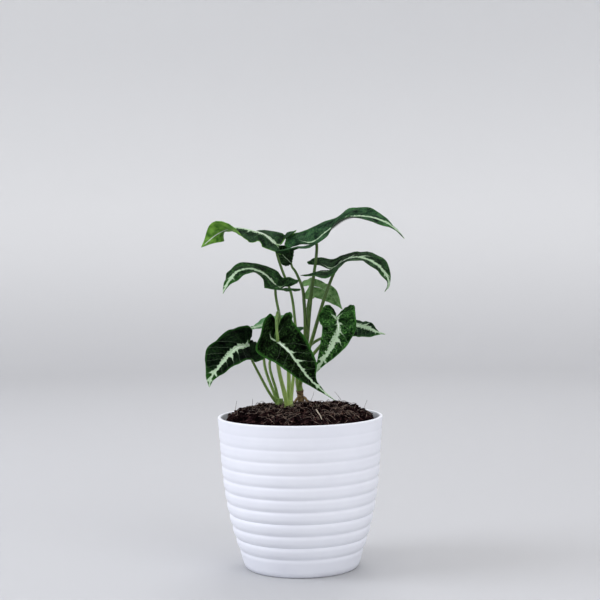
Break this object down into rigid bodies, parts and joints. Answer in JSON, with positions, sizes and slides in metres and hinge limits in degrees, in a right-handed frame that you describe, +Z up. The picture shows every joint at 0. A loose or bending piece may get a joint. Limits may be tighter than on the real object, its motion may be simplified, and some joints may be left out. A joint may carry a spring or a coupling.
{
  "type": "potted syngonium",
  "caption": "Young arrowhead plant in a white grooved tapered pot: dark arrow-shaped leaves with pale midribs on thin stalks that rise from potting mix.",
  "frame": {"origin": "centre of the pot's flat underside, on the surface that it stands on", "axes": "+Z up along the pot's axis; -Y towards the viewer of the picture, where the hanging front leaf is; +X to the viewer's right"},
  "size_m": [0.145, 0.134, 0.2613],
  "materials": {
    "pot": "satin white moulded plastic",
    "potting_mix": "loose dark brown coir and bark, matte",
    "stem": "rough brown stem skin",
    "stalk": "smooth waxy yellow-green plant skin",
    "leaf": "velvety dark green leaf with a pale midrib",
    "leaf_fresh": "velvety mottled mid-green leaf"
  },
  "bodies": {
    "root": {"pot": "pot", "potting_mix": "potting_mix", "stem_base": "stem", "stalks_left": "stalk", "stalks_front": "stalk", "stalks_right": "stalk", "leaf_top_left": "leaf", "leaf_top_right": "leaf", "leaf_mid_left": "leaf", "leaf_mid_right": "leaf", "leaf_young": "leaf", "leaf_right_front": "leaf", "leaf_right_upper": "leaf_fresh", "leaf_right_low": "leaf", "leaf_front": "leaf", "leaf_low_left": "leaf", "leaf_left_behind": "leaf_fresh", "leaf_back": "leaf"}
  },
  "joints": []
}
